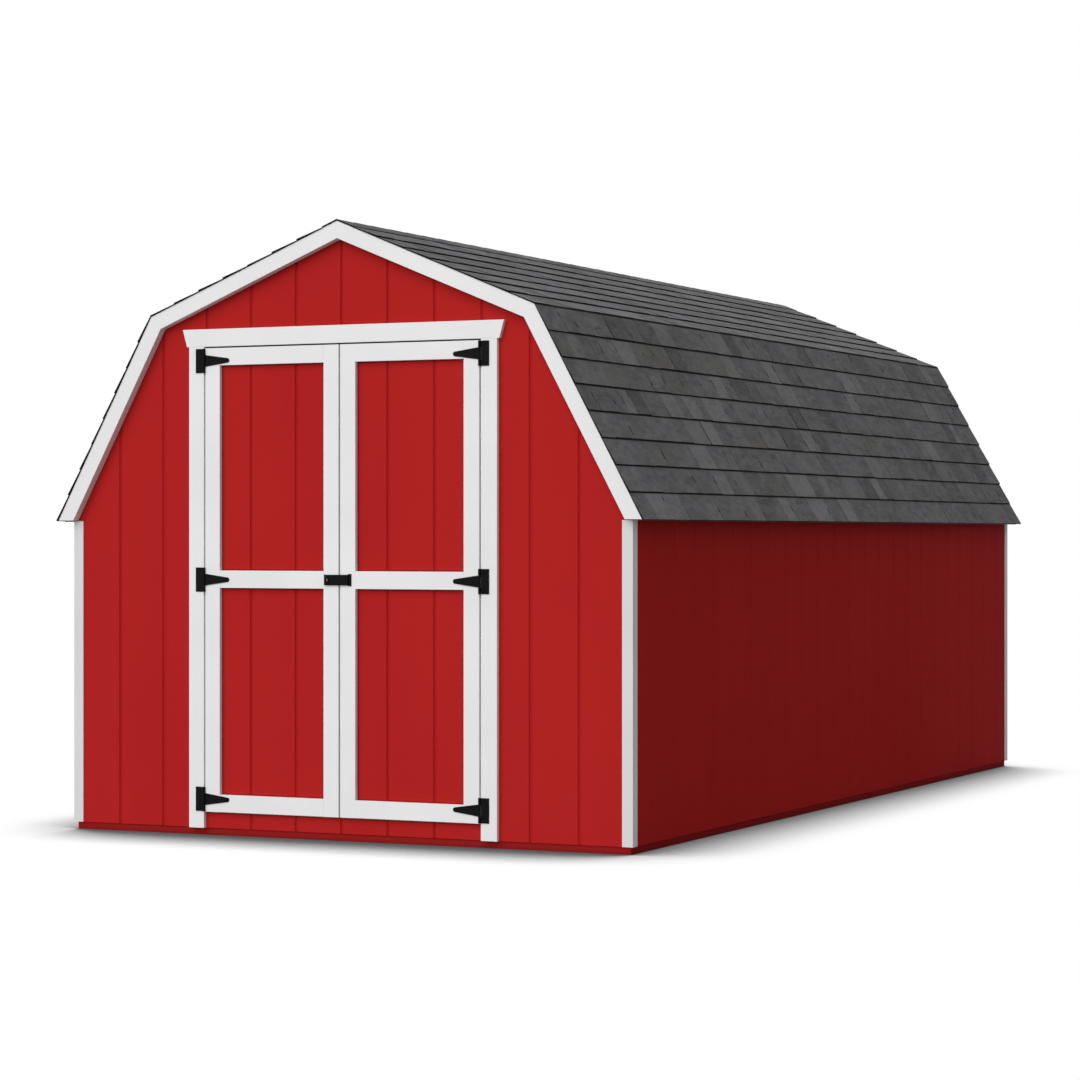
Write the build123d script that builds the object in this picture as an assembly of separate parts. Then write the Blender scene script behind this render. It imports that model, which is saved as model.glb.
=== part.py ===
from build123d import *
from math import atan2, ceil, cos, degrees, radians, sin, tan
import os

os.makedirs("parts", exist_ok=True)

# Overall sizes, in mm. The front faces -Y and the ground is Z = 0.
wall_width = 2448.0        # framing face to framing face, across the front
barn_length = 4876.8       # front siding face to back siding face
wall_top = 1250.0          # top of the side wall plates
eave_out = 66.0            # roof sheets past the framing
eave_rise = 3.0            # roof sheets' lower edge above the wall plates
knee_in = 376.0            # knee of the roof inside the framing
peak_z = 2416.0
knee_drop = 349.0          # knee below the peak

# Lumber and sheets
stud_t, stud_w = 38.0, 89.0
siding_t = 9.5
deck_t = 16.0              # floor sheet
roof_deck_t = 11.0
gusset_t = 12.0
bay_count = 12             # bays between studs and rafters along the length
end_bay_count = 6          # bays of the back wall
siding_z = 30.0            # lower edge of siding and trims above ground
mitre_gap = 1.0
ridge_gap = 6.0

# Shingles
lower_courses, upper_courses = 8, 7
shingle_head, shingle_butt = 2.0, 8.0
shingle_overhang = 5.0     # past the rake boards
eave_overhang = 4.0
cap_leg, cap_t = 68.0, 6.0

# White trim
rake_w, rake_t = 63.5, 38.0
corner_leg, corner_t = 44.5, 3.5
door_trim_w, trim_t = 69.0, 19.0
header_trim_h, header_flare = 70.0, 20.0
header_trim_overhang = 9.0

# Doorway and the two leaves
opening_half = 613.0       # between the side trims
header_drop = 125.0        # top of the doorway below the knee
leaf_gap = 6.0             # leaf to frame
meeting_gap = 7.0          # leaf to leaf
stile_w, rail_w = 67.0, 69.0
mid_rail_z = 1019.0
back_frame_w = 63.5
header_h = 140.0
king_offset = 158.0        # jack stud to king stud
cripple_pitch = 406.4

# T-hinges
hinge_inset = 50.0         # end hinges from the leaf's ends
mid_hinge_drop = 2.0       # middle hinge below the middle rail
hinge_plate_w, hinge_plate_h, hinge_t = 36.0, 96.0, 3.0
strap_len, strap_root, strap_tip_r = 114.0, 47.0, 9.0
barrel_r, pin_r = 5.0, 2.5
barrel_lift = 0.5          # barrel clear of the boards
pin_clearance = 0.05
knuckle_gap = 0.5

# Hasp and staple
hasp_axis_x, hasp_len, hasp_h, hasp_t = 39.0, 103.0, 41.0, 2.5
hasp_leaf_w, hasp_leaf_h = 15.0, 47.0
hasp_barrel_r, hasp_pin_r = 3.75, 1.75
hasp_lift = 5.0            # strap above the stiles
staple_x, staple_h, staple_out, staple_rod = -48.5, 19.0, 22.0, 4.0
staple_foot_w, staple_foot_h, staple_foot_t = 14.0, 9.0, 2.0
slot_x, slot_w, slot_h = -50.5, 13.0, 23.0

# Derived places
half_w = wall_width / 2
front_y, back_y = -barn_length / 2, barn_length / 2
frame_y0, frame_y1 = front_y + siding_t, back_y - siding_t
floor_z = stud_w
deck_z = floor_z + deck_t
eave_z = wall_top + eave_rise
knee_z = peak_z - knee_drop
header_z = knee_z - header_drop
leaf_z0, leaf_z1 = floor_z + leaf_gap, header_z - leaf_gap
leaf_x0, leaf_x1 = meeting_gap / 2, opening_half - leaf_gap
hinge_z = (leaf_z0 + hinge_inset, mid_rail_z - mid_hinge_drop, leaf_z1 - hinge_inset)
eave_x, knee_x = half_w + eave_out, half_w - knee_in
trim_face_y = front_y - trim_t
pivot_x = (opening_half + leaf_x1) / 2
pivot_y = trim_face_y - barrel_lift - barrel_r


def block(x0, x1, y0, y1, z0, z1):
    return Pos((x0 + x1) / 2, (y0 + y1) / 2, (z0 + z1) / 2) * Box(x1 - x0, y1 - y0, z1 - z0)


def profile_y(points, y0, y1):
    """A closed outline in X and Z, drawn out along Y."""
    wire = Polyline(*[(x, y0, z) for x, z in points], close=True)
    return extrude(make_face(wire), amount=y1 - y0, dir=(0, 1, 0))


def both_sides(solid):
    return [solid, mirror(solid, about=Plane.YZ)]


def save(name, solids):
    solids = solids if isinstance(solids, list) else [solids]
    parts = [s for item in solids for s in item.solids()]
    export_step(Compound(children=parts), f"parts/{name}.step")


def spread(first, last, bays):
    return [first + (last - first) * i / bays for i in range(bays + 1)]


# Roof line: the top of the roof sheets, as one side of the gambrel
eave = Vector(eave_x, eave_z)
knee = Vector(knee_x, knee_z)
peak = Vector(0, peak_z)
low_dir = (knee - eave).normalized()
up_dir = (peak - knee).normalized()
low_n = Vector(low_dir.Y, -low_dir.X)
up_n = Vector(up_dir.Y, -up_dir.X)
mitre = (low_n + up_n) / (1 + low_n.dot(up_n))


def knee_at(h):
    p = knee + mitre * h
    return (p.X, p.Y)


def past_knee(h):
    """The upper board's mitred end, a saw cut away from the lower one."""
    x, z = knee_at(h)
    return (x + up_dir.X * mitre_gap, z + up_dir.Y * mitre_gap)


def low_at_z(h, z):
    """Point of the lower slope's line, h above the roof line, at height z."""
    p = eave + low_n * h
    t = (z - p.Y) / low_dir.Y
    return (p.X + low_dir.X * t, z)


def low_at_x(h, x):
    p = eave + low_n * h
    t = (x - p.X) / low_dir.X
    return (x, p.Y + low_dir.Y * t)


def up_at_x(h, x):
    p = knee + up_n * h
    t = (x - p.X) / up_dir.X
    return (x, p.Y + up_dir.Y * t)


def low_point(s, h):
    p = eave + low_dir * s + low_n * h
    return (p.X, p.Y)


def up_point(s, h):
    p = knee + up_dir * s + up_n * h
    return (p.X, p.Y)


def under_roof(h, z0):
    """Outline of the whole gable below the line h, down to z0."""
    right = [(low_at_z(h, z0)[0], z0), knee_at(h), up_at_x(h, 0)]
    return right + [(-x, z) for x, z in reversed(right[:-1])]


# Floor
rim = block(half_w - stud_t, half_w, frame_y0, frame_y1, 0, floor_z)
save("floor_rims", both_sides(rim))
joist_x = half_w - stud_t
save("floor_joists", [block(-joist_x, joist_x, y, y + stud_t, 0, floor_z)
                      for y in spread(frame_y0, frame_y1 - stud_t, bay_count)])
deck = block(-half_w, half_w, frame_y0, frame_y1, floor_z, deck_z)
deck -= block(-opening_half, opening_half, frame_y0, frame_y0 + leaf_gap, floor_z, deck_z)
save("floor_deck", deck)

# Side walls
plate_x = half_w - stud_w
save("side_wall_plates", [p for z in (deck_z, wall_top - stud_t)
                          for p in both_sides(block(plate_x, half_w, frame_y0, frame_y1, z, z + stud_t))])
stud_ys = spread(frame_y0, frame_y1 - stud_t, bay_count)
save("side_wall_studs", [p for y in stud_ys for p in both_sides(
    block(plate_x, half_w, y, y + stud_t, deck_z + stud_t, wall_top - stud_t))])

# Rafters stand on the side wall plates
rafter_h0, rafter_h1 = -roof_deck_t, -roof_deck_t - stud_w
lower_rafter = [low_at_z(rafter_h0, wall_top), knee_at(rafter_h0), knee_at(rafter_h1),
                low_at_z(rafter_h1, wall_top)]
upper_rafter = [past_knee(rafter_h0), up_at_x(rafter_h0, mitre_gap / 2),
                up_at_x(rafter_h1, mitre_gap / 2), past_knee(rafter_h1)]
save("rafters_lower", [p for y in stud_ys for p in both_sides(profile_y(lower_rafter, y, y + stud_t))])
save("rafters_upper", [p for y in stud_ys for p in both_sides(profile_y(upper_rafter, y, y + stud_t))])

# Blocks close the eaves between the rafters
block_x = half_w - stud_t
block_line = [(block_x, wall_top), (half_w, wall_top), low_at_x(rafter_h0, half_w), low_at_x(rafter_h0, block_x)]
save("eave_blocks", [p for y0, y1 in zip(stud_ys, stud_ys[1:])
                     for p in both_sides(profile_y(block_line, y0 + stud_t, y1))])

# Plywood gussets on both faces of the inner frames; the siding ties the end ones
gusset_reach = 250.0
knee_gusset = [low_point(low_dir.dot(knee - eave) - gusset_reach, rafter_h0), knee_at(rafter_h0),
               up_point(gusset_reach, rafter_h0), up_point(gusset_reach, rafter_h1),
               low_point(low_dir.dot(knee - eave) - gusset_reach, rafter_h1)]
ridge_gusset = [(gusset_reach, up_at_x(rafter_h1, gusset_reach)[1]), up_at_x(rafter_h0, gusset_reach),
                up_at_x(rafter_h0, 0)]
ridge_gusset += [(-x, z) for x, z in reversed(ridge_gusset[:-1])]
gussets = []
for y in stud_ys[1:-1]:
    for y0 in (y - gusset_t, y + stud_t):
        gussets += both_sides(profile_y(knee_gusset, y0, y0 + gusset_t))
        gussets += [profile_y(ridge_gusset, y0, y0 + gusset_t)]
save("rafter_gussets", gussets)

# Back wall
end_x = plate_x
back0 = frame_y1 - stud_w
save("back_wall_plate", block(-end_x, end_x, back0, frame_y1, deck_z, deck_z + stud_t))
under_rafters = profile_y(under_roof(rafter_h1, deck_z), frame_y0, frame_y1)


def gable_stud(x0, y0, z0):
    """A stud from z0 up to the underside of the end rafters."""
    return block(x0, x0 + stud_t, y0, y0 + stud_w, z0, peak_z) & under_rafters


save("back_wall_studs", [gable_stud(x, back0, deck_z + stud_t)
                         for x in spread(-end_x, end_x - stud_t, end_bay_count)])

# Front wall, split by the doorway
front1 = frame_y0 + stud_w
save("front_wall_plates", both_sides(block(opening_half, end_x, frame_y0, front1, deck_z, deck_z + stud_t)))
header_top = header_z + header_h
jack = block(opening_half, opening_half + stud_t, frame_y0, front1, deck_z + stud_t, header_z)
outer = gable_stud(end_x - stud_t, frame_y0, deck_z + stud_t)
king = gable_stud(opening_half + king_offset, frame_y0, deck_z + stud_t)
cripple = gable_stud(cripple_pitch - stud_t / 2, frame_y0, header_top)
save("front_wall_studs", [s for g in (jack, outer, king, cripple) for s in both_sides(g)]
     + [gable_stud(-stud_t / 2, frame_y0, header_top)])
header_solid = block(-opening_half - stud_t, opening_half + stud_t, frame_y0, front1, header_z, header_top)
save("door_header", header_solid & under_rafters)

# Siding: grooved sheets, one skin a wall, the front split around the doorway
side_skin = block(half_w, half_w + siding_t, front_y, back_y, siding_z, wall_top)
save("side_siding_right", side_skin)
save("side_siding_left", mirror(side_skin, about=Plane.YZ))
gable_line = [(half_w, siding_z), low_at_x(-roof_deck_t, half_w), knee_at(-roof_deck_t),
              up_at_x(-roof_deck_t, 0)]
gable_line += [(-x, z) for x, z in reversed(gable_line[:-1])]
save("back_siding", profile_y(gable_line, frame_y1, back_y))
front_skin = profile_y(gable_line, front_y, frame_y0)
side_part = block(opening_half, half_w, front_y, frame_y0, siding_z, header_z)
save("front_siding_right", front_skin & side_part)
save("front_siding_left", front_skin & mirror(side_part, about=Plane.YZ))
save("front_siding_gable", front_skin & block(-half_w, half_w, front_y, frame_y0, header_z, peak_z))
save("front_siding_sill", block(-opening_half, opening_half, front_y, frame_y0, siding_z, floor_z))

# Roof sheets
low_len = (knee - eave).length
up_len = (peak - knee).length
low_deck = [low_point(0, 0), knee_at(0), knee_at(-roof_deck_t), low_point(0, -roof_deck_t)]
up_deck = [knee_at(0), up_at_x(0, ridge_gap / 2), up_at_x(-roof_deck_t, ridge_gap / 2), knee_at(-roof_deck_t)]
save("roof_deck_lower", both_sides(profile_y(low_deck, front_y, back_y)))
save("roof_deck_upper", both_sides(profile_y(up_deck, front_y, back_y)))

# Shingles: one stepped layer a slope
shingle_y0 = front_y - rake_t - shingle_overhang
shingle_y1 = back_y + rake_t + shingle_overhang


def stepped(point, start, end, courses, exposure):
    outline = []
    for i in range(courses):
        s0 = start if i == 0 else exposure * i
        s1 = min(exposure * (i + 1), end)
        outline += [point(s0, shingle_butt), point(s1, shingle_head)]
    return outline


low_exposure = low_len / lower_courses
low_outline = [low_point(-eave_overhang, 0)]
low_outline += stepped(low_point, -eave_overhang, low_len, lower_courses, low_exposure)[:-1]
low_outline += [knee_at(shingle_head), knee_at(0)]
up_exposure = (up_len - cap_leg) / upper_courses
up_outline = [knee_at(0), knee_at(shingle_butt)]
up_outline += stepped(up_point, 0, up_len - cap_leg, upper_courses, up_exposure)[1:]
up_outline += [up_at_x(shingle_head, ridge_gap / 2), up_at_x(0, ridge_gap / 2)]
save("shingles_lower", both_sides(profile_y(low_outline, shingle_y0, shingle_y1)))
save("shingles_upper", both_sides(profile_y(up_outline, shingle_y0, shingle_y1)))
cap = [up_point(up_len - cap_leg, shingle_head), up_point(up_len - cap_leg, shingle_head + cap_t),
       up_at_x(shingle_head + cap_t, 0)]
cap += [(-x, z) for x, z in reversed(cap[:-1])] + [up_at_x(shingle_head, 0)]
save("ridge_cap", profile_y(cap, shingle_y0, shingle_y1))

# Rake boards: lower and upper boards meet at the knee and at the peak
low_rake = [low_at_z(0, eave_z), knee_at(0), knee_at(-rake_w), low_at_z(-rake_w, eave_z)]
up_rake = [past_knee(0), up_at_x(0, mitre_gap / 2), up_at_x(-rake_w, mitre_gap / 2), past_knee(-rake_w)]
for name, y0 in (("front_rake_boards", front_y - rake_t), ("back_rake_boards", back_y)):
    save(name, [b for line in (low_rake, up_rake) for b in both_sides(profile_y(line, y0, y0 + rake_t))])

# Corner trims
corner_x, corner_y = half_w + siding_t + corner_t, back_y + corner_t
angle = block(corner_x - corner_leg, corner_x, corner_y - corner_t, corner_y, siding_z, wall_top)
angle += block(corner_x - corner_t, corner_x, corner_y - corner_leg, corner_y, siding_z, wall_top)
save("corner_trims", [c for a in (angle, mirror(angle, about=Plane.XZ)) for c in both_sides(a)])

# Doorway trims
trim_x1 = opening_half + door_trim_w
save("door_side_trims", both_sides(block(opening_half, trim_x1, trim_face_y, front_y, siding_z, header_z)))
head_x0 = trim_x1 + header_trim_overhang
head_z1 = header_z + header_trim_h
header_trim = [(-head_x0, header_z), (head_x0, header_z), (head_x0 + header_flare, head_z1),
               (-head_x0 - header_flare, head_z1)]
save("door_header_trim", profile_y(header_trim, trim_face_y, front_y))

# Door leaves, drawn as the right one and mirrored
panel = block(leaf_x0, leaf_x1, front_y, frame_y0, leaf_z0, leaf_z1)
stiles = [block(x, x + stile_w, trim_face_y, front_y, leaf_z0, leaf_z1)
          for x in (leaf_x0, leaf_x1 - stile_w)]
rail_zs = (leaf_z0, mid_rail_z - rail_w / 2, leaf_z1 - rail_w)
rails = [block(leaf_x0 + stile_w, leaf_x1 - stile_w, trim_face_y, front_y, z, z + rail_w) for z in rail_zs]
back_x0, back_x1 = leaf_x0 + 2 * leaf_gap, leaf_x1
back_z0, back_z1 = deck_z + leaf_gap, leaf_z1
back_uprights = [block(x, x + back_frame_w, frame_y0, frame_y0 + trim_t, back_z0, back_z1)
                 for x in (back_x0, back_x1 - back_frame_w)]
back_rail_zs = (back_z0, mid_rail_z - back_frame_w / 2, back_z1 - back_frame_w)
back_rails = [block(back_x0 + back_frame_w, back_x1 - back_frame_w, frame_y0, frame_y0 + trim_t, z,
                    z + back_frame_w) for z in back_rail_zs]
back_frame = back_uprights[0] + back_uprights[1] + back_rails[0] + back_rails[1] + back_rails[2]
for side in ("right", "left"):
    turn = (lambda s: s) if side == "right" else (lambda s: mirror(s, about=Plane.YZ))
    save(f"{side}_door_panel", turn(panel))
    save(f"{side}_door_stiles", [turn(s) for s in stiles])
    save(f"{side}_door_rails", [turn(r) for r in rails])
    save(f"{side}_door_back_frame", turn(back_frame))

# T-hinges: plate, two end knuckles and pin on the trim, strap and middle knuckle on the leaf
knuckle_half = strap_root / 2


def barrel(z0, z1, radius):
    return Pos(pivot_x, pivot_y, (z0 + z1) / 2) * Cylinder(radius, z1 - z0)


def hinge_plate(z):
    plate = block(opening_half + 0.0, opening_half + hinge_plate_w, trim_face_y - hinge_t, trim_face_y,
                  z - hinge_plate_h / 2, z + hinge_plate_h / 2)
    relief = knuckle_half + knuckle_gap
    plate -= block(opening_half - 1, pivot_x + barrel_r + 1, trim_face_y - hinge_t, trim_face_y,
                   z - relief, z + relief)
    for sign in (-1, 1):
        a, b = sorted((z + sign * relief, z + sign * hinge_plate_h / 2))
        plate += barrel(a, b, barrel_r)
    return plate + barrel(z - hinge_plate_h / 2, z + hinge_plate_h / 2, pin_r)


def hinge_strap(z):
    root_x, tip_x = leaf_x1, pivot_x - strap_len
    outline = [(root_x, z - knuckle_half), (root_x, z + knuckle_half),
               (tip_x + strap_tip_r, z + strap_tip_r), (tip_x + strap_tip_r, z - strap_tip_r)]
    strap = profile_y(outline, trim_face_y - hinge_t, trim_face_y)
    tip = Pos(tip_x + strap_tip_r, trim_face_y - hinge_t / 2, z) * Rot(90, 0, 0) * Cylinder(strap_tip_r, hinge_t)
    strap += tip
    strap += barrel(z - knuckle_half, z + knuckle_half, barrel_r)
    return strap - barrel(z - knuckle_half, z + knuckle_half, pin_r + pin_clearance)


save("hinge_plates", [p for z in hinge_z for p in both_sides(hinge_plate(z))])
straps = [hinge_strap(z) for z in hinge_z]
save("right_hinge_straps", straps)
save("left_hinge_straps", [mirror(s, about=Plane.YZ) for s in straps])

# Hasp: fixed leaf on the right door, strap over the meeting line, staple on the left door
hasp_z0, hasp_z1 = mid_rail_z - hasp_h / 2, mid_rail_z + hasp_h / 2
hasp_y = trim_face_y - hasp_lift
hasp_pin_y = hasp_y - hasp_t / 2
hasp_third = hasp_h / 3


def hasp_barrel(z0, z1, radius):
    return Pos(hasp_axis_x, hasp_pin_y, (z0 + z1) / 2) * Cylinder(radius, z1 - z0)


def on_axis(z0, z1):
    """The zone round the hasp's barrel between two heights."""
    reach = hasp_barrel_r + 2 * knuckle_gap
    return block(hasp_axis_x - reach, hasp_axis_x + reach, hasp_y - hasp_t - reach, trim_face_y, z0, z1)


leaf_half = hasp_leaf_h / 2
knuckle_z0, knuckle_z1 = hasp_z0 + hasp_third, hasp_z1 - hasp_third
fixed = block(hasp_axis_x, hasp_axis_x + hasp_leaf_w, trim_face_y - hasp_t, trim_face_y,
              mid_rail_z - leaf_half, mid_rail_z + leaf_half)
fixed += block(hasp_axis_x, hasp_axis_x + hasp_barrel_r, hasp_pin_y, trim_face_y, hasp_z0, hasp_z1)
fixed -= on_axis(knuckle_z0 - knuckle_gap, knuckle_z1 + knuckle_gap)
fixed += hasp_barrel(hasp_z0, knuckle_z0 - knuckle_gap, hasp_barrel_r)
fixed += hasp_barrel(knuckle_z1 + knuckle_gap, hasp_z1, hasp_barrel_r)
fixed += hasp_barrel(hasp_z0, hasp_z1, hasp_pin_r)
save("hasp_leaf", fixed)

strap = block(hasp_axis_x - hasp_len, hasp_axis_x, hasp_y - hasp_t, hasp_y, hasp_z0, hasp_z1)
strap -= on_axis(hasp_z0, knuckle_z0) + on_axis(knuckle_z1, hasp_z1)
strap += hasp_barrel(knuckle_z0, knuckle_z1, hasp_barrel_r)
strap -= hasp_barrel(knuckle_z0, knuckle_z1, hasp_pin_r + pin_clearance)
strap -= block(slot_x - slot_w / 2, slot_x + slot_w / 2, hasp_y - hasp_t, hasp_y,
               mid_rail_z - slot_h / 2, mid_rail_z + slot_h / 2)
save("hasp_strap", strap)

staple_y = trim_face_y - staple_out
staple_x0, staple_x1 = staple_x - staple_rod / 2, staple_x + staple_rod / 2
staple = block(staple_x0, staple_x1, staple_y, staple_y + staple_rod,
               mid_rail_z - staple_h / 2, mid_rail_z + staple_h / 2)
for side in (-1, 1):
    inner, end = sorted(mid_rail_z + side * (staple_h / 2 - d) for d in (staple_rod, 0))
    staple += block(staple_x0, staple_x1, staple_y, trim_face_y, inner, end)
    foot = sorted(mid_rail_z + side * (staple_h / 2 + d) for d in (-staple_rod, staple_foot_h))
    staple += block(staple_x - staple_foot_w / 2, staple_x + staple_foot_w / 2,
                    trim_face_y - staple_foot_t, trim_face_y, *foot)
save("hasp_staple", staple)
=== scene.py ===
import math
import random
import bmesh
import bpy
from mathutils import Matrix, Vector


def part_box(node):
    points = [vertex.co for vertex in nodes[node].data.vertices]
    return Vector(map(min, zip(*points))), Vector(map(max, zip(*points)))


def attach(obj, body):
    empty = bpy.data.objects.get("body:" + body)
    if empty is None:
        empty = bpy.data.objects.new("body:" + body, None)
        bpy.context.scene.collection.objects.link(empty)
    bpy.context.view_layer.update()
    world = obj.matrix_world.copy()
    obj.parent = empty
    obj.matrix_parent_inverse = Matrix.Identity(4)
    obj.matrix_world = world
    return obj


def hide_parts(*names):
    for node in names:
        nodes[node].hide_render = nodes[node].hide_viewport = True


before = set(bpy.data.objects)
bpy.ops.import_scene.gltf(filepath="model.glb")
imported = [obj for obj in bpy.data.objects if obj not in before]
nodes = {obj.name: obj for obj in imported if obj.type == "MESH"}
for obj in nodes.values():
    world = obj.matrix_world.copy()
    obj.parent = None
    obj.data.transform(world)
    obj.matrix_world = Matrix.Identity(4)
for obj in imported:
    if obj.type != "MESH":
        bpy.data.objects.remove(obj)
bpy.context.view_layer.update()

scene = bpy.context.scene
axisX, axisY, axisZ = 0, 1, 2

# how near places count as the same, in metres, then a cosine for facing the same way and degrees
# for lying flat
tolerance = {"cut": 0.000001, "place": 0.00001, "weld": 0.00002, "face": 0.0001, "facing": 0.9,
             "flat": 1.0}


def linearColour(hexText):  # sRGB hex to the linear values that shaders take
    values = [int(hexText[i:i + 2], 16) / 255 for i in (1, 3, 5)]
    return tuple(v / 12.92 if v <= 0.04045 else ((v + 0.055) / 1.055) ** 2.4
                 for v in values) + (1.0,)


def addNode(tree, kind, settings=None, **links):  # one node, its settings and what feeds its inputs
    node = tree.nodes.new(kind)
    for name, value in (settings or {}).items():
        if name == "stops":  # a ramp's (position, hex or grey)
            elements = node.color_ramp.elements
            while len(elements) < len(value):
                elements.new(0.5)
            for element, (place, colour) in zip(elements, value):
                element.position = place
                element.color = (linearColour(colour) if isinstance(colour, str)
                                 else (colour, colour, colour, 1))
        elif isinstance(name, str) and hasattr(node, name):
            setattr(node, name, value)
        else:
            node.inputs[name].default_value = value
    for name, source in links.items():  # in0, in1 stand for numbered inputs
        numbered = name.startswith("in") and name[2:].isdigit()
        tree.links.new(source, node.inputs[int(name[2:]) if numbered else name.replace("_", " ")])
    return node


def newMaterial(name):
    material = bpy.data.materials.new(name)
    material.use_nodes = True
    material.node_tree.nodes.clear()
    return material, material.node_tree


def objectPlace(tree, scale=(1, 1, 1)):  # object coordinates in metres, stretched by scale
    coordinates = addNode(tree, "ShaderNodeTexCoord")
    return addNode(tree, "ShaderNodeMapping", {"Scale": scale},
                   Vector=coordinates.outputs["Object"]).outputs[0]


def noiseScale(width):  # the scale at which a noise draws lines or specks of this width
    return 1 / width / 2


# an IOR of 1.5 suits paint, stone and wood, and the specular level is matched to the photograph
def finishShader(tree, finish, colour, height, sheen=None):
    shader = addNode(tree, "ShaderNodeBsdfPrincipled",
                     {"IOR": 1.5, "Specular IOR Level": finish["specular"]}, Base_Color=colour)
    if sheen is None:
        shader.inputs["Roughness"].default_value = finish["roughness"]
    else:
        tree.links.new(sheen, shader.inputs["Roughness"])
    distance, strength = finish["bump"]
    bump = addNode(tree, "ShaderNodeBump", {"Distance": distance, "Strength": strength},
                   Height=height)
    tree.links.new(bump.outputs[0], shader.inputs["Normal"])
    addNode(tree, "ShaderNodeOutputMaterial", {}, Surface=shader.outputs[0])


# a bmesh becomes a piece that rides on a body and stands in for CAD nodes, if any are named
def finishPiece(work, name, slot, materials, body, *stands):
    bmesh.ops.recalc_face_normals(work, faces=work.faces)
    if work.calc_volume(signed=True) < 0:
        bmesh.ops.reverse_faces(work, faces=work.faces)
    mesh = bpy.data.meshes.new(name)
    work.to_mesh(mesh)
    work.free()
    piece = bpy.data.objects.new(name, mesh)
    scene.collection.objects.link(piece)
    for material in materials:
        mesh.materials.append(material)
    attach(piece, body)
    if stands:
        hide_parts(*stands)


def addBlock(work, low, high):  # one rectangular block in a bmesh, returns its vertices
    made = bmesh.ops.create_cube(work, size=1.0)["verts"]
    size = [b - a for a, b in zip(low, high)]
    bmesh.ops.scale(work, vec=size, verts=made)
    bmesh.ops.translate(work, vec=[(a + b) / 2 for a, b in zip(low, high)], verts=made)
    return made


def facesOf(verts):
    return {f for v in verts for f in v.link_faces}


def easeEdges(work, edges, width):
    bmesh.ops.bevel(work, geom=edges, offset=width, offset_type="OFFSET", segments=2, profile=0.5,
                    affect="EDGES", clamp_overlap=True, material=-1)


def weldedCopy(source):  # a CAD node's mesh as a bmesh, welded, with its flat faces whole
    work = bmesh.new()
    work.from_mesh(nodes[source].data)
    bmesh.ops.remove_doubles(work, verts=work.verts, dist=tolerance["weld"])
    bmesh.ops.dissolve_limit(work, angle_limit=math.radians(tolerance["flat"]), verts=work.verts,
                             edges=work.edges)
    return work


print("helpers ready")

# Exterior satin acrylic on embossed engineered wood siding: even deep red, faint vertical grain,
# soft sheen. The lines of the embossing are 2 mm wide, drawn 4 mm wide to show.
redPaint = {"colour": "#AF2423", "shade": "#AB2221", "span": (0.3, 0.7), "patches": (2.2, 2.2, 0.9),
            "grainWidth": 0.004, "grainLength": 0.12, "specular": 0.008, "bump": (0.0006, 0.5),
            "sheen": [(0.2, 0.54), (0.8, 0.68)]}  # roughness over the grain
grooveShadeRed = {**redPaint, "colour": "#A61D1E", "shade": "#A01A1B"}  # painted shade: a groove is painted darker, as less light reaches it
baseRed = {**redPaint, "colour": "#AC2423", "shade": "#8F1F1E", "foot": "#781A1B", "splash": 0.03,
           "grime": (0.3, -0.15)}  # painted shade, darker towards the ground


def makeRedPaint(name, settings):
    material, tree = newMaterial(name)
    across, along = noiseScale(settings["grainWidth"]), 1 / settings["grainLength"]
    grain = addNode(tree, "ShaderNodeTexNoise", {"Scale": 1.0, "Detail": 6.0, "Roughness": 0.6},
                    Vector=objectPlace(tree, (across, across, along)))
    if "foot" in settings:
        # painted shade: darker towards the ground over the lowest 30 mm, with grain mixed in
        weight, shift = settings["grime"]
        height = addNode(tree, "ShaderNodeSeparateXYZ", {}, Vector=objectPlace(tree))
        rise = addNode(tree, "ShaderNodeMapRange", {"From Max": settings["splash"]},
                       Value=height.outputs["Z"])
        grainedShade = addNode(tree, "ShaderNodeMath", {"operation": "MULTIPLY_ADD", 1: weight, 2: shift},
                        in0=grain.outputs["Fac"])
        level = addNode(tree, "ShaderNodeMath", {"operation": "ADD"}, in0=rise.outputs[0],
                        in1=grainedShade.outputs[0])
        stops = [(0.0, settings["foot"]), (0.5, settings["shade"]), (1.0, settings["colour"])]
    else:
        level = addNode(tree, "ShaderNodeTexNoise", {"Scale": 1.0, "Detail": 3.0},
                        Vector=objectPlace(tree, settings["patches"]))
        stops = list(zip(settings["span"], (settings["shade"], settings["colour"])))
    tone = addNode(tree, "ShaderNodeValToRGB", {"stops": stops}, Fac=level.outputs[0])
    sheen = addNode(tree, "ShaderNodeValToRGB", {"stops": settings["sheen"]},
                    Fac=grain.outputs["Fac"])
    finishShader(tree, settings, tone.outputs[0], grain.outputs["Fac"], sheen.outputs[0])
    return material


redSidingPaint = makeRedPaint("redAcrylicOnEmbossedSiding", redPaint)
redGroovePaintedShade = makeRedPaint("redAcrylicInGroove", grooveShadeRed)
redBasePaint = makeRedPaint("redAcrylicOnFloorTimber", baseRed)

# Exterior satin acrylic on primed pine boards: clean white with the faintest grain along the board.
# Its lines are 1 mm wide, drawn coarser to show: 220 to a metre across the board and 9 along it.
whitePaint = {"colour": "#E8E8E8", "shade": "#E3E3E4", "span": (0.3, 0.7), "patches": 3.0,
              "grainAcross": 220, "grainAlong": 9, "roughness": 0.42, "specular": 0.1,
              "bump": (0.0002, 0.4)}
cornerWhite = {**whitePaint, "colour": "#D9D8D8", "shade": "#D4D3D3"}


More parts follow.
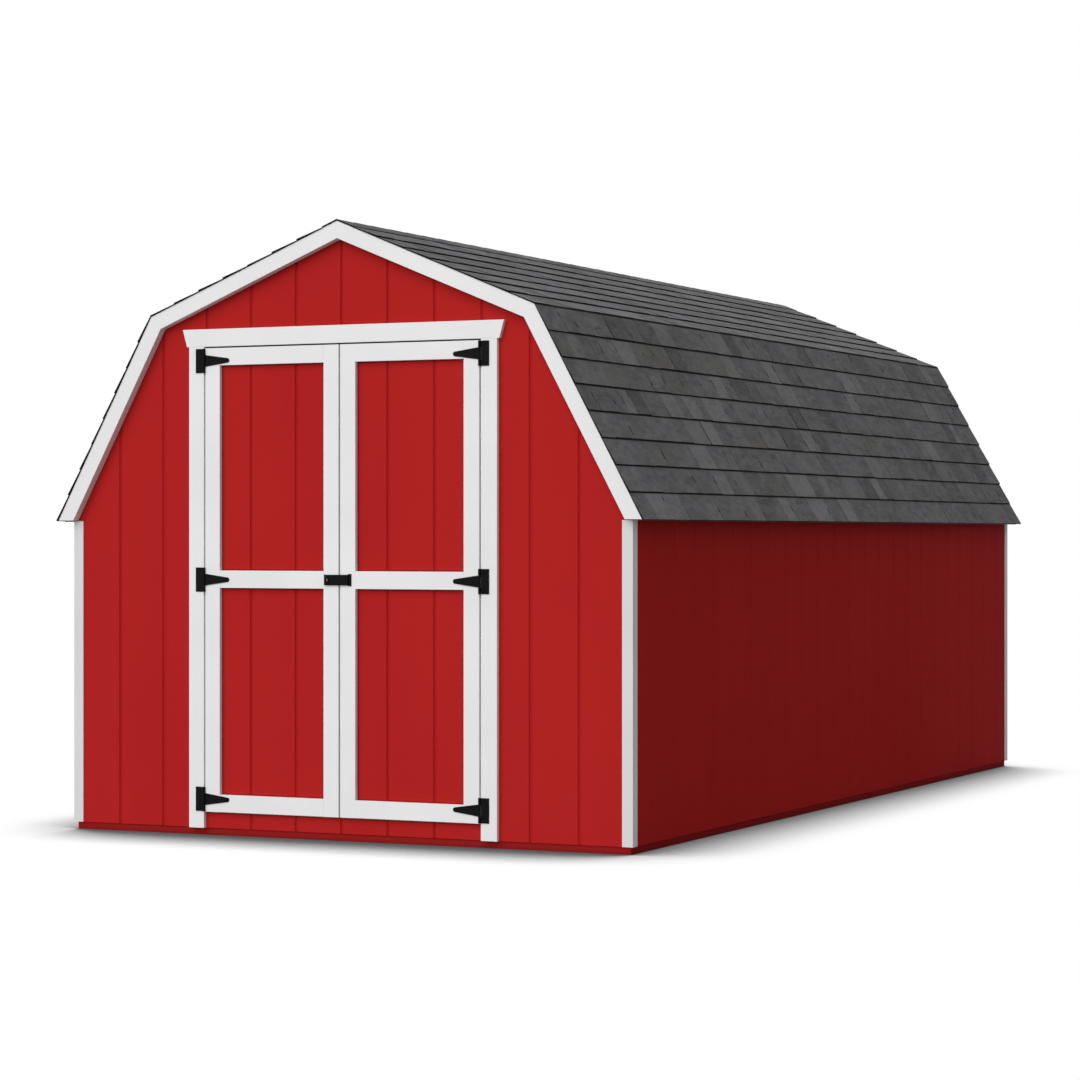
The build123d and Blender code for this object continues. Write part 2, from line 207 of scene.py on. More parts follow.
def makeWhitePaint(name, along, settings=whitePaint):
    material, tree = newMaterial(name)
    scale = [settings["grainAcross"]] * 3
    scale[along] = settings["grainAlong"]
    grain = addNode(tree, "ShaderNodeTexNoise", {"Scale": 1.0, "Detail": 5.0},
                    Vector=objectPlace(tree, scale))
    patches = addNode(tree, "ShaderNodeTexNoise", {"Scale": settings["patches"], "Detail": 2.0},
                      Vector=objectPlace(tree))
    stops = list(zip(settings["span"], (settings["shade"], settings["colour"])))
    tone = addNode(tree, "ShaderNodeValToRGB", {"stops": stops}, Fac=patches.outputs["Fac"])
    finishShader(tree, settings, tone.outputs[0], grain.outputs["Fac"])
    return material


whiteUpright = makeWhitePaint("whiteAcrylicOnUprightPine", axisZ)
whiteLevel = makeWhitePaint("whiteAcrylicOnLevelPine", axisX)
whiteRake = makeWhitePaint("whiteAcrylicOnRakePine", axisY)
whiteCorner = makeWhitePaint("whiteAcrylicOnCornerStrip", axisZ, cornerWhite)

# Laminated asphalt shingle with ceramic granules: charcoal and speckled, with tabs lighter, darker
# or warmer, black butts and a dark band under each course, both partly the shingle's own and partly
# painted shade. Granules are 1.5 mm wide, drawn 14 mm wide to show.
shingle = {"dark": "#545456", "light": "#7D7D7F", "warm": "#66645A", "butt": "#141413",
           "span": (0.3, 1.0), "granule": 0.014, "gritStretch": (1, 0.5, 1), "gritWeight": 0.8,
           "blotch": 0.06, "blotchStretch": (1, 0.4, 1), "blotchWeight": (1.2, -0.62),
           "tabWeight": 0.6, "shadowBand": (0.935, 0.965), "roughness": 0.92, "specular": 0.1,
           "bump": (0.002, 0.5)}


def makeShingle():
    material, tree = newMaterial("charcoalGranulesOnAsphalt")
    painted = addNode(tree, "ShaderNodeAttribute", {"attribute_name": "tabTone"})
    tones = addNode(tree, "ShaderNodeSeparateXYZ", {}, Vector=painted.outputs["Vector"])
    course = addNode(tree, "ShaderNodeUVMap", {"uv_map": "course"})
    place = addNode(tree, "ShaderNodeSeparateXYZ", {}, Vector=course.outputs[0])
    grit = addNode(tree, "ShaderNodeTexNoise",
                   {"Scale": noiseScale(shingle["granule"]), "Detail": 3.0, "Roughness": 0.7},
                   Vector=objectPlace(tree, shingle["gritStretch"]))
    blotch = addNode(tree, "ShaderNodeTexNoise",
                     {"Scale": 1 / shingle["blotch"], "Detail": 6.0, "Roughness": 0.75,
                      "Distortion": 0.6}, Vector=objectPlace(tree, shingle["blotchStretch"]))
    weight, shift = shingle["blotchWeight"]
    cloud = addNode(tree, "ShaderNodeMath", {"operation": "MULTIPLY_ADD", 1: weight, 2: shift},
                    in0=blotch.outputs["Fac"])
    speckle = addNode(tree, "ShaderNodeMath",
                      {"operation": "MULTIPLY_ADD", 1: shingle["gritWeight"]},
                      in0=grit.outputs["Fac"], in2=cloud.outputs[0])
    level = addNode(tree, "ShaderNodeMath", {"operation": "MULTIPLY_ADD", 1: shingle["tabWeight"]},
                    in0=tones.outputs["X"], in2=speckle.outputs[0])
    stops = list(zip(shingle["span"], (shingle["dark"], shingle["light"])))
    tone = addNode(tree, "ShaderNodeValToRGB", {"stops": stops}, Fac=level.outputs[0])
    warm = addNode(tree, "ShaderNodeMix", {"data_type": "RGBA", 7: linearColour(shingle["warm"])},
                   in0=tones.outputs["Y"], in6=tone.outputs[0])
    bandStart, bandEnd = shingle["shadowBand"]  # dark band under the course above: partly the printed shadow band of laminated shingles, partly painted shade
    band = addNode(tree, "ShaderNodeMapRange", {"From Min": bandStart, "From Max": bandEnd},
                   Value=place.outputs["Y"])
    dark = addNode(tree, "ShaderNodeMath", {"operation": "MAXIMUM"}, in0=band.outputs[0],
                   in1=tones.outputs["Z"])
    black = addNode(tree, "ShaderNodeMix", {"data_type": "RGBA", 7: linearColour(shingle["butt"])},
                    in0=dark.outputs[0], in6=warm.outputs[2])
    finishShader(tree, shingle, black.outputs[2], speckle.outputs[0])
    return material


shingleGranules = makeShingle()

# Black powder coat on pressed steel hinges: near black, satin, with a 1.2 mm orange peel
ironCoat = {"colour": "#151515", "shade": "#101010", "span": (0.2, 0.8), "peel": 0.0012,
            "roughness": 0.45, "specular": 0.03, "bump": (0.00015, 0.5)}


def makeIron():
    material, tree = newMaterial("blackPowderCoatOnSteel")
    peel = addNode(tree, "ShaderNodeTexNoise",
                   {"Scale": noiseScale(ironCoat["peel"]), "Detail": 2.0}, Vector=objectPlace(tree))
    stops = list(zip(ironCoat["span"], (ironCoat["shade"], ironCoat["colour"])))
    tone = addNode(tree, "ShaderNodeValToRGB", {"stops": stops}, Fac=peel.outputs["Fac"])
    finishShader(tree, ironCoat, tone.outputs[0], peel.outputs["Fac"])
    return material


blackIron = makeIron()

# Planed spruce framing, bare: pale straw with darker latewood lines along the grain.
# The rings are 3 mm wide, drawn 9 mm wide to show.
spruce = {"early": "#D9B98A", "late": "#B98F5E", "span": (0.5, 0.8), "ring": 0.009, "along": 1.2,
          "boards": 2.3, "boardWeight": 0.3, "roughness": 0.62, "specular": 0.3,
          "bump": (0.0003, 0.4)}


def makeSpruce(name, along):
    material, tree = newMaterial(name)
    scale = [noiseScale(spruce["ring"])] * 3
    scale[along] = spruce["along"]
    rings = addNode(tree, "ShaderNodeTexNoise", {"Scale": 1.0, "Detail": 4.0, "Distortion": 0.3},
                    Vector=objectPlace(tree, scale))
    board = addNode(tree, "ShaderNodeTexNoise", {"Scale": spruce["boards"], "Detail": 1.0},
                    Vector=objectPlace(tree))
    level = addNode(tree, "ShaderNodeMath",
                    {"operation": "MULTIPLY_ADD", 1: spruce["boardWeight"]},
                    in0=board.outputs["Fac"], in2=rings.outputs["Fac"])
    stops = list(zip(spruce["span"], (spruce["early"], spruce["late"])))
    tone = addNode(tree, "ShaderNodeValToRGB", {"stops": stops}, Fac=level.outputs[0])
    finishShader(tree, spruce, tone.outputs[0], rings.outputs["Fac"])
    return material


spruceAlong = {axis: makeSpruce("planedSpruce" + "XYZ"[axis], axis)
               for axis in (axisX, axisY, axisZ)}

# Pressed strand board and plywood sheets: tan flakes of 16 by 75 mm in a brown ground
strandBoard = {"flake": "#CFAC76", "middle": "#C29C64", "ground": "#A9834F",
               "span": (0.2, 0.6, 1.0), "flakeWidth": 0.016, "flakeLength": 0.075,
               "crossWeight": 0.6, "strands": 60.0, "strandWeight": (0.5, -0.45),
               "roughness": 0.7, "specular": 0.3, "bump": (0.0004, 0.4)}
roofEdge = {"from": 1.235, "stain": "#2B1B1A"}  # the overhang of the roof sheets is coloured dark


def makeStrandBoard(name, edge=None):
    material, tree = newMaterial(name)
    fine, coarse = 1 / strandBoard["flakeWidth"], 1 / strandBoard["flakeLength"]
    layers = []
    for scale in ((coarse, coarse, fine), (fine, fine, coarse)):  # flakes lie both ways
        flakes = addNode(tree, "ShaderNodeTexVoronoi", {"Scale": 1.0},
                         Vector=objectPlace(tree, scale))
        layers.append(addNode(tree, "ShaderNodeSeparateColor", {}, Color=flakes.outputs["Color"]))
    crossed = addNode(tree, "ShaderNodeMath",
                      {"operation": "MULTIPLY_ADD", 1: strandBoard["crossWeight"]},
                      in0=layers[0].outputs["Red"], in2=layers[1].outputs["Red"])
    strands = addNode(tree, "ShaderNodeTexNoise", {"Scale": strandBoard["strands"], "Detail": 4.0},
                      Vector=objectPlace(tree))
    weight, shift = strandBoard["strandWeight"]
    level = addNode(tree, "ShaderNodeMath", {"operation": "MULTIPLY_ADD", 1: weight, 2: shift},
                    in0=strands.outputs["Fac"], in2=crossed.outputs[0])
    shades = (strandBoard["ground"], strandBoard["middle"], strandBoard["flake"])
    tone = addNode(tree, "ShaderNodeValToRGB", {"stops": list(zip(strandBoard["span"], shades))},
                   Fac=level.outputs[0])
    if edge:
        parts = addNode(tree, "ShaderNodeSeparateXYZ", {}, Vector=objectPlace(tree))
        reach = addNode(tree, "ShaderNodeMath", {"operation": "ABSOLUTE"}, in0=parts.outputs["X"])
        past = addNode(tree, "ShaderNodeMath", {"operation": "GREATER_THAN", 1: edge["from"]},
                       in0=reach.outputs[0])
        tone = addNode(tree, "ShaderNodeMixRGB", {"Color2": linearColour(edge["stain"])},
                       Fac=past.outputs[0], Color1=tone.outputs[0])
    finishShader(tree, strandBoard, tone.outputs[0], level.outputs[0])
    return material


strandSheet = makeStrandBoard("pressedStrandBoard")
roofSheet = makeStrandBoard("strandBoardWithStainedEaves", roofEdge)
print("materials ready")

# grooved siding: the grooves of the side walls hardly show, so they are shallow and get none of
# the painted groove shade
siding = {"pitch": 0.2032, "margin": 0.02, "frontWidth": 0.0125, "frontDepth": 0.0034,
          "frontSlope": 0.003, "sideWidth": 0.009, "sideDepth": 0.0016, "sideSlope": 0.003,
          "rebateWidth": 0.004, "rebateDepth": 0.005}
# edges of the boards on a leaf, and which way the sheet shows from there
leafEdges = {"uprights": ((0.0705, 1), (0.540, -1)),
             "rails": ((0.164, 1), (0.9845, -1), (1.0535, 1), (1.867, -1))}


def cutBands(work, axis, bands, normal, depth, slope=0.0):  # sinks strips of the outer face
    for place in [edge for band in bands for edge in band]:
        point, across = Vector((0, 0, 0)), Vector((0, 0, 0))
        point[axis], across[axis] = place, 1
        bmesh.ops.bisect_plane(work, geom=work.verts[:] + work.edges[:] + work.faces[:],
                               dist=tolerance["cut"], plane_co=point, plane_no=across)
    outer = max(v.co.dot(normal) for v in work.verts)
    strips = []
    for f in work.faces:
        centre = f.calc_center_median()
        outside = (f.normal.dot(normal) > tolerance["facing"]
                   and centre.dot(normal) > outer - tolerance["face"])
        if outside and any(a < centre[axis] < b for a, b in bands):
            strips.append(f)
    sunk = bmesh.ops.extrude_face_region(work, geom=strips)["geom"]
    bmesh.ops.delete(work, geom=[f for f in strips if f.is_valid], context="FACES_ONLY")
    sunk = [v for v in sunk if isinstance(v, bmesh.types.BMVert)]
    bmesh.ops.translate(work, vec=-normal * depth, verts=sunk)
    for band in bands:  # the sides of the strip lean in
        for place, lean in zip(band, (slope, -slope)):
            for v in sunk:
                if abs(v.co[axis] - place) < tolerance["place"]:
                    v.co[axis] += lean
    return facesOf(sunk)


def grooveSheet(name, source, along, face, body, rebates=()):  # a CAD sheet with its grooves
    work = weldedCopy(source)
    low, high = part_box(source)
    normal = Vector((0, 0, 0))
    normal[1 - along] = face  # the grooves are spaced along one level axis and face the other
    kind = "front" if along == axisX else "side"
    half, pitch, margin = siding[kind + "Width"] / 2, siding["pitch"], siding["margin"]
    first = math.ceil((low[along] + margin) / pitch)
    last = math.floor((high[along] - margin) / pitch)
    grooves = [(count * pitch - half, count * pitch + half) for count in range(first, last + 1)]
    for f in cutBands(work, along, grooves, normal, siding[kind + "Depth"], siding[kind + "Slope"]):
        # only the grooves of the front take the painted groove shade
        f.material_index = 1 if kind == "front" else 0
    for axis, band in rebates:  # the dark line where a frame board lies on the sheet
        cutBands(work, axis, [band], normal, siding["rebateDepth"])
    rear = min(v.co.dot(normal) for v in work.verts)
    for f in work.faces:  # the back of the sheet is left bare
        if all(v.co.dot(normal) < rear + tolerance["face"] for v in f.verts):
            f.material_index = 2
    finishPiece(work, name, "red_siding", (redSidingPaint, redGroovePaintedShade, strandSheet), body,
                source)


for name, source, along, face in (("sidingGable", "front_siding_gable", axisX, -1),
                                  ("sidingFrontLeft", "front_siding_left", axisX, -1),
                                  ("sidingFrontRight", "front_siding_right", axisX, -1),
                                  ("sidingSill", "front_siding_sill", axisX, -1),
                                  ("sidingBack", "back_siding", axisX, 1),
                                  ("sidingLeft", "side_siding_left", axisY, -1),
                                  ("sidingRight", "side_siding_right", axisY, 1)):
    grooveSheet(name, source, along, face, "barn")
for side, body in ((1, "right_door"), (-1, "left_door")):
    wide = siding["rebateWidth"]
    rebates = [(axisX, sorted((side * x, side * (x + way * wide))))
               for x, way in leafEdges["uprights"]]
    rebates += [(axisZ, sorted((z, z + way * wide))) for z, way in leafEdges["rails"]]
    grooveSheet(body.replace("_door", "DoorSheet"), body + "_panel", axisX, -1, body, rebates)
print("siding grooved")

# planed boards: how far an arris is eased, the least length and the least angle in radians of an
# edge that is one, and the gap that is filled at a mitre
arris = {"rake": 0.002, "trim": 0.0015, "door": 0.001, "corner": 0.0012, "shortest": 0.2,
         "sharp": 0.5, "mitre": 0.0013}


def easeBoards(name, source, material, body, width, close=0.0):  # end cuts are left square
    work = weldedCopy(source)
    if close:  # mitres are filled and painted over, so the boards run on as one
        bmesh.ops.remove_doubles(work, verts=work.verts, dist=close)
        inside = [f for f in work.faces if all(len(e.link_faces) > 2 for e in f.edges)]
        bmesh.ops.delete(work, geom=inside, context="FACES_ONLY")
    long = [e for e in work.edges if e.is_manifold and e.calc_face_angle(0) > arris["sharp"]
            and e.calc_length() > arris["shortest"]]
    easeEdges(work, long, width)
    finishPiece(work, name, "white_trim", (material,), body, source)


easeBoards("rakeFront", "front_rake_boards", whiteRake, "barn", arris["rake"], arris["mitre"])
easeBoards("rakeBack", "back_rake_boards", whiteRake, "barn", arris["rake"], arris["mitre"])
easeBoards("cornerBoards", "corner_trims", whiteCorner, "barn", arris["corner"])
easeBoards("doorwaySides", "door_side_trims", whiteUpright, "barn", arris["trim"])
easeBoards("doorwayHead", "door_header_trim", whiteLevel, "barn", arris["trim"])
for body in ("left_door", "right_door"):
    for part, source, material in (("DoorStiles", "_stiles", whiteUpright),
                                   ("DoorRails", "_rails", whiteLevel)):
        easeBoards(body.replace("_door", part), body + source, material, body, arris["door"])

# frames behind the door sheets
backFrame = {"width": 0.0635, "middle": 1.019, "arris": 0.0015}


def makeBackFrame(name, source, body):  # two uprights with three rails between them
    work = bmesh.new()
    low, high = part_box(source)
    width = backFrame["width"]
    for x in (low[0], high[0] - width):
        addBlock(work, (x, low[1], low[2]), (x + width, high[1], high[2]))
    for z in (low[2], backFrame["middle"] - width / 2, high[2] - width):
        rail = addBlock(work, (low[0] + width, low[1], z), (high[0] - width, high[1], z + width))
        for f in facesOf(rail):  # the grain of a rail runs level
            f.material_index = 1
    easeEdges(work, work.edges[:], backFrame["arris"])
    finishPiece(work, name, "framing", (spruceAlong[axisZ], spruceAlong[axisX]), body, source)


for body in ("left_door", "right_door"):
    makeBackFrame(body.replace("_door", "DoorBackFrame"), body + "_back_frame", body)
print("boards eased")

# the line that the shingles lie on, over eave, knee and peak
roof = {"eaveX": 1.290, "eaveZ": 1.253, "kneeX": 0.848, "kneeZ": 2.067, "peakZ": 2.416}
# each slope starts with its own first course, lowers the painted shade of the course above by
# bandShift of a course, and is painted lighter by its lift, as painted light for a slope that
# takes more light
lowerShingles = {"courses": 8, "overhang": 0.004, "firstButt": 0.0076, "bandShift": 0.0,
                 "lift": 0.0, "seed": 11}
upperShingles = {"courses": 7, "overhang": 0.0, "firstButt": 0.0056, "bandShift": 0.03,
                 "lift": 0.2, "seed": 12}
# a tab tapers from its butt to its head, and its underside stands at base
tab = {"narrowest": 0.075, "widest": 0.215, "base": 0.001, "head": 0.002, "butt": 0.0076,
       "thinner": (0.0, 0.0, 0.0, 0.0008, 0.0015), "lap": 0.012, "sway": 0.0014, "gap": 0.006,
       "gapShare": 0.06, "endMargin": 0.01}
tabTones = {"lightShare": 0.13, "light": (0.7, 1.0), "darkShare": 0.1, "dark": (0.0, 0.15),
            "ground": (0.38, 0.08), "groundLimits": (0.2, 0.6), "warmShare": 0.22,
            "warm": (0.1, 0.4)}
# strips that show in the gaps, kept in from the eave and the ends of the roof
felt = {"thickness": 0.0012, "dark": 0.35, "eave": 0.002, "inset": 0.001}
# a short dark cut beside a tab, its dark a painted shadow of the cut edge; its start, length and
# end as shares of the course
mark = {"share": 0.4, "width": 0.01, "proud": 0.0004, "start": (0.1, 0.7), "length": (0.1, 0.4),
        "end": 0.97, "dark": (0.32, 0.8)}
# caps bent over the ridge, each a course of its own that stays clear of the shadow band
ridge = {"leg": 0.068, "pitch": 0.1459, "lap": 0.02, "base": 0.0022, "head": 0.0042,
         "butt": 0.0056, "course": (0.1, 0.6), "lift": 0.2, "blackButts": (0, 17), "seed": 13}


class Slope:  # a roof slope in the XZ plane: s runs up it, h stands off it
    def __init__(self, start, end):
        run = Vector((end[0] - start[0], 0, end[1] - start[1]))
        self.start, self.length = Vector((start[0], 0, start[1])), run.length
        self.up = run.normalized()
        self.out = Vector((self.up.z, 0, -self.up.x))

    def at(self, side, s, y, h):
        place = self.start + self.up * s + self.out * h
        return Vector((place.x * side, y, place.z))


def tabColour(rng):  # most tabs are near the ground tone, some stand out
    pick = rng.random()
    if pick < tabTones["lightShare"]:
        level = rng.uniform(*tabTones["light"])
    elif pick < tabTones["lightShare"] + tabTones["darkShare"]:
        level = rng.uniform(*tabTones["dark"])
    else:
        lowest, highest = tabTones["groundLimits"]
        level = min(max(rng.gauss(*tabTones["ground"]), lowest), highest)
    return level, (rng.uniform(*tabTones["warm"]) if rng.random() < tabTones["warmShare"] else 0.0)


def tabLayers(work):  # each face holds its lightness, warmth and darkness, each corner its course
    return work.faces.layers.float_vector.new("tabTone"), work.loops.layers.uv.new("course")


# One block, whose corners are known by three ends, such as upper, back and top, each True or False.
# The function corner turns them into its place and its course, and tone gives a face its shade.
def shapeBlock(work, layers, corner, tone):
    made = addBlock(work, (0, 0, 0), (1, 1, 1))
    ends = {v: tuple(value > 0.5 for value in v.co) for v in made}
    course = {}
    for v in made:
        v.co, course[v] = corner(*ends[v])
    for face in facesOf(made):
        face[layers[0]] = tone([ends[v] for v in face.verts])
        for loop in face.loops:
            loop[layers[1]].uv = course[loop.vert]


def makeSlope(name, node, slope, reach, settings):  # courses of tabs on strips of felt
    rng = random.Random(settings["seed"])
    work = bmesh.new()
    layers = tabLayers(work)
    low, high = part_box(node)
    courses = settings["courses"]
    exposure = reach / courses

    def layTab(side, start, sRange, yRange, hBase, hTop, colour, shift=0.0, dark=0.0):
        def corner(upper, back, top):
            s, y = sRange[upper], yRange[back]
            place = slope.at(side, s, y, hTop[upper] if top else hBase)
            return place, (y, (s - start) / exposure + shift)

        def tone(ends):  # every edge of a tab is black, partly the asphalt's own edge and partly painted shade; only its face is grey
            return (*colour, dark if all(top for upper, back, top in ends) else 1.0)

        shapeBlock(work, layers, corner, tone)

    for side in (1, -1):
        for course in range(courses):
            start = exposure * course
            layTab(side, start, (max(start, felt["eave"]), start + exposure),
                   (low[1] + felt["inset"], high[1] - felt["inset"]), 0.0,
                   [felt["thickness"]] * 2, (0.0, 0.0), dark=felt["dark"])
            y = low[1]
            while y < high[1] - felt["inset"]:
                width = rng.uniform(tab["narrowest"], tab["widest"])
                if high[1] - (y + width) < tab["narrowest"]:
                    width = high[1] - y
                inner = y + width < high[1] - tab["endMargin"]
                gap = tab["gap"] if rng.random() < tab["gapShare"] and inner else 0.0
                sway = rng.uniform(-1, 1) * tab["sway"]
                s0 = start + sway if course else start - settings["overhang"]
                butt = tab["butt"] if course else settings["firstButt"]
                butt -= rng.choice(tab["thinner"])
                lap = tab["lap"] if course < courses - 1 else 0.0
                level, warm = tabColour(rng)
                layTab(side, start, (s0, start + exposure + lap), (y, y + width - gap),
                       tab["base"], (butt, tab["head"]), (level + settings["lift"], warm),
                       settings["bandShift"])
                if gap == 0 and rng.random() < mark["share"] and inner:
                    share = rng.uniform(*mark["start"])
                    shares = (share, min(share + rng.uniform(*mark["length"]), mark["end"]))
                    tops = [butt + (tab["head"] - butt) * each + mark["proud"] for each in shares]
                    layTab(side, start, [start + exposure * each for each in shares],
                           (y + width - mark["width"], y + width), tab["base"], tops,
                           (0.0, 0.0), dark=rng.uniform(*mark["dark"]))
                y += width
    finishPiece(work, name, "shingles", (shingleGranules,), "barn", node)


lowSlope = Slope((roof["eaveX"], roof["eaveZ"]), (roof["kneeX"], roof["kneeZ"]))
upSlope = Slope((roof["kneeX"], roof["kneeZ"]), (0, roof["peakZ"]))
makeSlope("shinglesLower", "shingles_lower", lowSlope, lowSlope.length, lowerShingles)
makeSlope("shinglesUpper", "shingles_upper", upSlope, upSlope.length - ridge["leg"], upperShingles)


def makeRidge(name, node):  # cap shingles folded over the ridge, each lapping the one behind it
    rng = random.Random(ridge["seed"])
    work = bmesh.new()
    layers = tabLayers(work)
    low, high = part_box(node)
    count = round((high[1] - low[1]) / ridge["pitch"])
    pitch = (high[1] - low[1]) / count
    for index in range(count):
        y0 = low[1] + index * pitch
        y1 = min(y0 + pitch + ridge["lap"], high[1])
        level, warm = tabColour(rng)
        for side in (1, -1):
            def corner(outer, back, top):
                y = y1 if back else y0
                h = (ridge["head"] if back else ridge["butt"]) if top else ridge["base"]
                place = (upSlope.at(side, upSlope.length - ridge["leg"], y, h) if outer
                         else Vector((0, y, roof["peakZ"] + h / upSlope.out.z)))
                return place, (ridge["leg"] * outer, ridge["course"][back])

            def tone(ends):  # some caps, counted from the front, show a black butt
                butt = index in ridge["blackButts"] and not any(back for outer, back, top in ends)
                # the caps are painted lighter by the upper slope's lift, as painted light
                return level + ridge["lift"], warm, 1.0 if butt else 0.0

            shapeBlock(work, layers, corner, tone)
    middle = [f for f in work.faces if all(abs(v.co.x) < tolerance["cut"] for v in f.verts)]
    bmesh.ops.delete(work, geom=middle, context="FACES_ONLY")  # both legs are one folded piece
    bmesh.ops.remove_doubles(work, verts=work.verts, dist=tolerance["cut"])
    finishPiece(work, name, "shingles", (shingleGranules,), "barn", node)


makeRidge("ridgeCaps", "ridge_cap")
print("shingles laid")

# dished pan heads on the plates and along the straps, each placed by its x and by its height over
# the middle of the hinge
screw = {"radius": 0.0036, "height": 0.0014, "crown": 0.72, "rim": 0.3, "dish": 0.0006,
         "segments": 16, "faceY": -2.4604}
hinge = {"levels": (0.145, 1.017, 1.886),
         "plate": ((0.627, 0.034), (0.640, 0.0), (0.627, -0.034)),
         "strap": ((0.588, 0.011), (0.588, -0.011), (0.552, 0.0), (0.514, 0.0))}


def screwHeads(name, body, sides, spots):
    work = bmesh.new()
    for side in sides:
        for x, z in [(side * x, level + dz) for level in hinge["levels"] for x, dz in spots]:
            made = bmesh.ops.create_cone(work, cap_ends=True, segments=screw["segments"],
                                         radius1=screw["radius"], depth=screw["height"],
                                         radius2=screw["radius"] * screw["crown"])["verts"]
            bmesh.ops.rotate(work, cent=(0, 0, 0), matrix=Matrix.Rotation(math.radians(90), 3, "X"),
                             verts=made)
            bmesh.ops.translate(work, vec=(x, screw["faceY"] - screw["height"] / 2, z), verts=made)
            front = min(facesOf(made), key=lambda f: f.calc_center_median().y)
            bmesh.ops.inset_individual(work, faces=[front], depth=0,
                                       thickness=screw["radius"] * screw["rim"])
            bmesh.ops.translate(work, vec=(0, screw["dish"], 0), verts=front.verts)
    finishPiece(work, name, "black_iron", (blackIron,), body)


screwHeads("plateScrews", "barn", (1, -1), hinge["plate"])
screwHeads("rightStrapScrews", "right_door", (1,), hinge["strap"])
screwHeads("leftStrapScrews", "left_door", (-1,), hinge["strap"])
print("screws set")

# thin plates behind the slot of the hasp's strap and the notch of its fixed leaf
haspPlates = {"stapleBase": ("left_door", (-0.0528, -2.4593, 1.0130), (-0.0415, -2.4574, 1.0250)),
              "haspLeafBase": ("right_door", (0.0355, -2.4583, 1.0115),
                               (0.0445, -2.4574, 1.0265))}

for name, (body, low, high) in haspPlates.items():
    plate = bmesh.new()
    addBlock(plate, low, high)
    finishPiece(plate, name, "black_iron", (blackIron,), body)
print("hasp backed")

# the CAD solids that stay as they are only need their materials
for material, names in (
        (redBasePaint, ("floor_rims", "floor_joists")),
        (strandSheet, ("floor_deck", "rafter_gussets")),
        (roofSheet, ("roof_deck_lower", "roof_deck_upper")),
        (spruceAlong[axisX], ("back_wall_plate", "front_wall_plates", "door_header",
                              "rafters_upper")),
        (spruceAlong[axisY], ("side_wall_plates", "eave_blocks")),
        (spruceAlong[axisZ], ("side_wall_studs", "back_wall_studs", "front_wall_studs",
                              "rafters_lower")),
        (blackIron, ("hinge_plates", "left_hinge_straps", "right_hinge_straps", "hasp_leaf",
                     "hasp_strap", "hasp_staple"))):
    for name in names:
        nodes[name].data.materials.clear()
        nodes[name].data.materials.append(material)
print("nodes dressed")

# White paper floor and an even white surround with one soft key from the front. The floor shows
# white with a contact shadow, whose rays lean back so that it gathers before the front.
studio = {"floorColour": "#959595", "floorHalf": 40.0, "worldStrength": 0.36, "sunStrength": 2.65,
          "sunAngle": 75.0, "sunDirection": (-0.1836, -0.8637, 0.4695), "shadowReach": 0.62,
          "shadowSpan": (0.474, 0.889), "shadowDark": 0.1, "shadowTilt": (-0.06, 0.24, 1.0)}


def raysAre(tree, *kinds):  # 1 for rays of these kinds
    path = addNode(tree, "ShaderNodeLightPath")
    either = path.outputs[kinds[0]]
    for kind in kinds[1:]:
        either = addNode(tree, "ShaderNodeMath", {"operation": "MAXIMUM"}, in0=either,
                         in1=path.outputs[kind]).outputs[0]
    return either


floorWork = bmesh.new()
bmesh.ops.create_grid(floorWork, x_segments=1, y_segments=1, size=studio["floorHalf"])
floorMesh = bpy.data.meshes.new("studioFloor")
floorWork.to_mesh(floorMesh)
floorWork.free()
studioFloor = bpy.data.objects.new("studioFloor", floorMesh)
scene.collection.objects.link(studioFloor)
floorMaterial, floorTree = newMaterial("whitePaperFloor")
paper = addNode(floorTree, "ShaderNodeBsdfDiffuse", {"Color": linearColour(studio["floorColour"])})
tilt = addNode(floorTree, "ShaderNodeCombineXYZ",
               dict(zip("XYZ", Vector(studio["shadowTilt"]).normalized())))
contact = addNode(floorTree, "ShaderNodeAmbientOcclusion",
                  {"samples": 16, "Distance": studio["shadowReach"]}, Normal=tilt.outputs[0])
shade = addNode(floorTree, "ShaderNodeMapRange",
                {"From Min": studio["shadowSpan"][0], "From Max": studio["shadowSpan"][1],
                 "To Min": studio["shadowDark"]}, Value=contact.outputs["AO"])
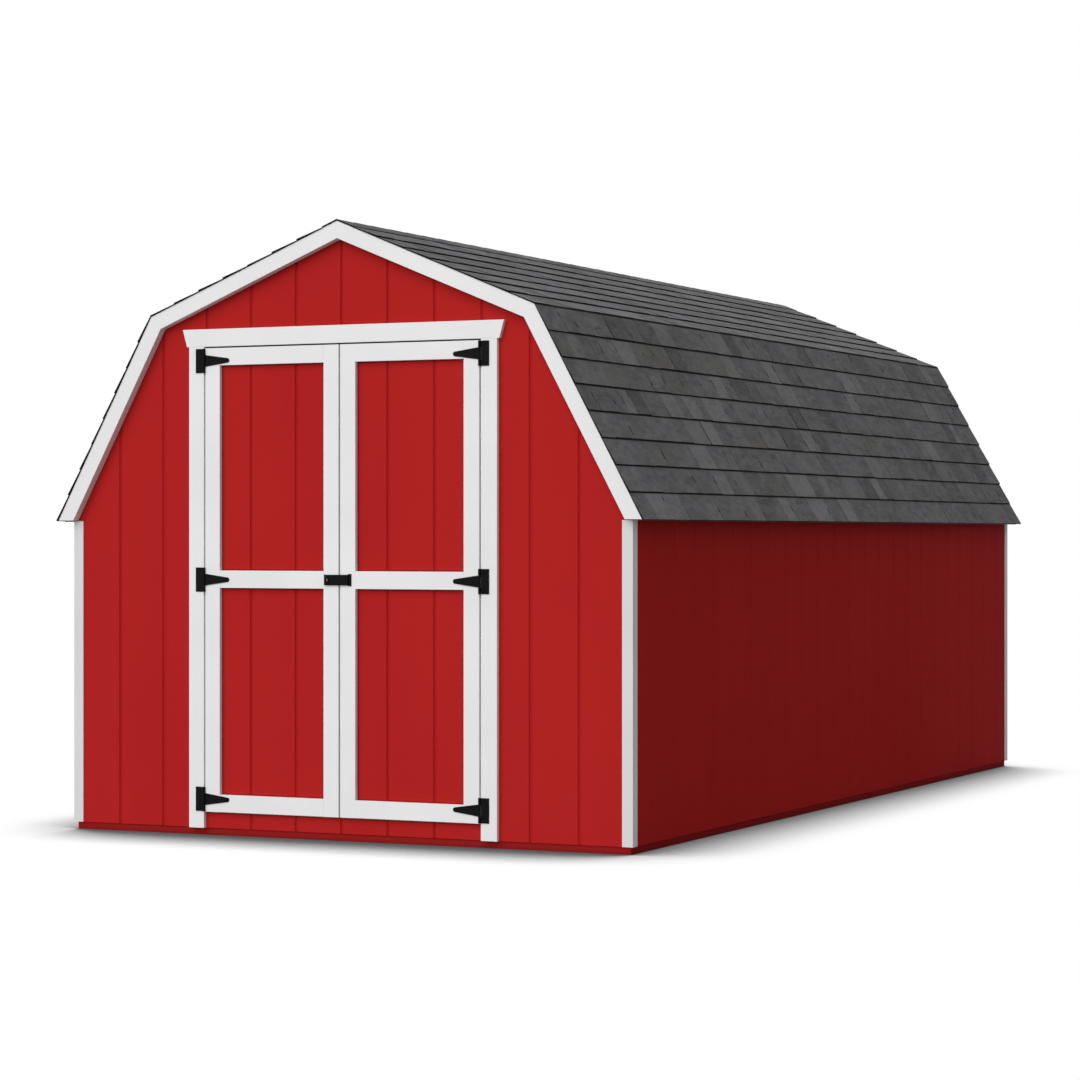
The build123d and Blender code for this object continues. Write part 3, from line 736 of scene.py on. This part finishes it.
glow = addNode(floorTree, "ShaderNodeEmission", {}, Strength=shade.outputs[0])
floorSeen = addNode(floorTree, "ShaderNodeMixShader", {},
                    in0=raysAre(floorTree, "Is Camera Ray", "Is Glossy Ray"),
                    in1=paper.outputs[0], in2=glow.outputs[0])
addNode(floorTree, "ShaderNodeOutputMaterial", {}, Surface=floorSeen.outputs[0])
floorMesh.materials.append(floorMaterial)

world = bpy.data.worlds.new("studioWorld")
scene.world = world
world.use_nodes = True
worldTree = world.node_tree
worldTree.nodes.clear()
surround = addNode(worldTree, "ShaderNodeBackground",
                   {"Color": (1, 1, 1, 1), "Strength": studio["worldStrength"]})
backdrop = addNode(worldTree, "ShaderNodeBackground", {"Color": (1, 1, 1, 1), "Strength": 1.0})
worldSeen = addNode(worldTree, "ShaderNodeMixShader", {},
                    in0=raysAre(worldTree, "Is Camera Ray", "Is Glossy Ray",
                                "Is Transmission Ray"),
                    in1=surround.outputs[0], in2=backdrop.outputs[0])
addNode(worldTree, "ShaderNodeOutputWorld", {}, Surface=worldSeen.outputs[0])

sunData = bpy.data.lights.new("softKey", "SUN")
sunData.energy = studio["sunStrength"]
sunData.angle = math.radians(studio["sunAngle"])
sun = bpy.data.objects.new("softKey", sunData)
sun.rotation_euler = Vector(studio["sunDirection"]).to_track_quat("Z", "Y").to_euler()
scene.collection.objects.link(sun)

# the photograph's view, level and turned to show the right side
cameraView = {"place": (5.7558, -12.9111, 1.1953), "turn": 25.085, "lens": 102.02, "sensor": 36.0,
              "shiftY": -0.0049, "farthest": 200.0}
cameraData = bpy.data.cameras.new("photoView")
cameraData.sensor_width = cameraView["sensor"]
cameraData.lens = cameraView["lens"]
cameraData.shift_y = cameraView["shiftY"]
cameraData.clip_end = cameraView["farthest"]
camera = bpy.data.objects.new("photoView", cameraData)
camera.location = cameraView["place"]
camera.rotation_euler = (math.radians(90), 0, math.radians(cameraView["turn"]))
scene.collection.objects.link(camera)
scene.camera = camera
scene.view_settings.view_transform = "Standard"
print("studio ready")
